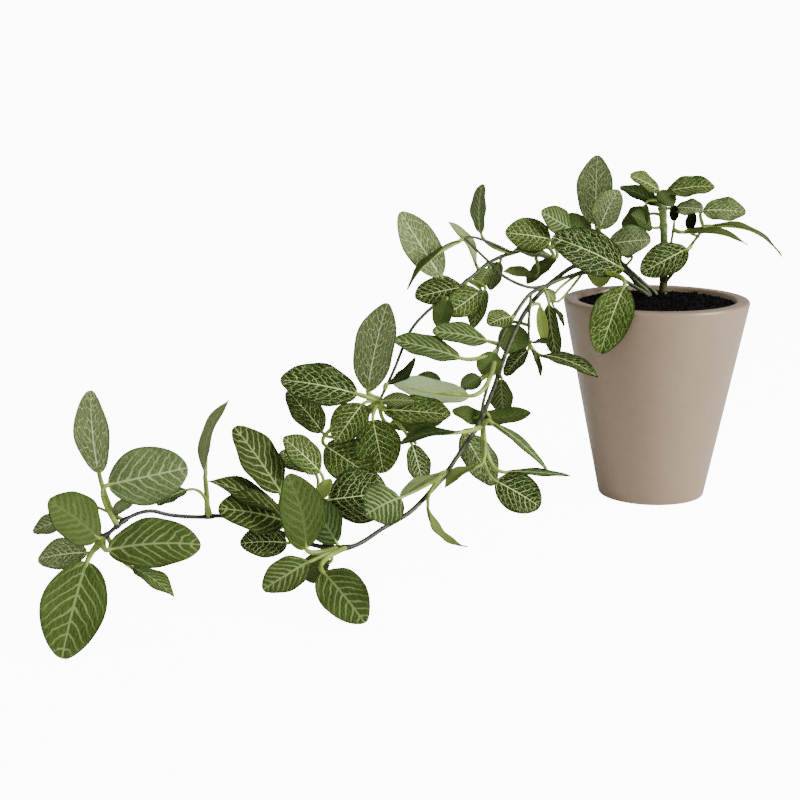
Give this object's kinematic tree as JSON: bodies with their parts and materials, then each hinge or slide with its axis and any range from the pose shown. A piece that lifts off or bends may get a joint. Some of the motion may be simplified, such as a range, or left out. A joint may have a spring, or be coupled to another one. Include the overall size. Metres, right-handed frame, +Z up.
{
  "type": "potted trailing nerve plant",
  "caption": "Net-veined trailing houseplant: leafy stems spill over the rim of a tapered pot of dark soil and lie out in front, with an upright tuft.",
  "frame": {"origin": "centre of the pot's underside, on the surface that the pot stands on", "axes": "+Z up along the pot's axis; the stems trail to -X and towards -Y, and +Y is the side away from them"},
  "size_m": [0.4749, 0.407, 0.2377],
  "materials": {
    "pot_glaze": "satin",
    "soil": "matte",
    "leaf": "satin"
  },
  "bodies": {
    "root": {"pot": "pot_glaze", "soil": "soil", "tuft_stem": "leaf", "crown_stem": "leaf", "front_stem": "leaf", "long_stem": "leaf", "back_stem": "leaf"}
  },
  "joints": []
}
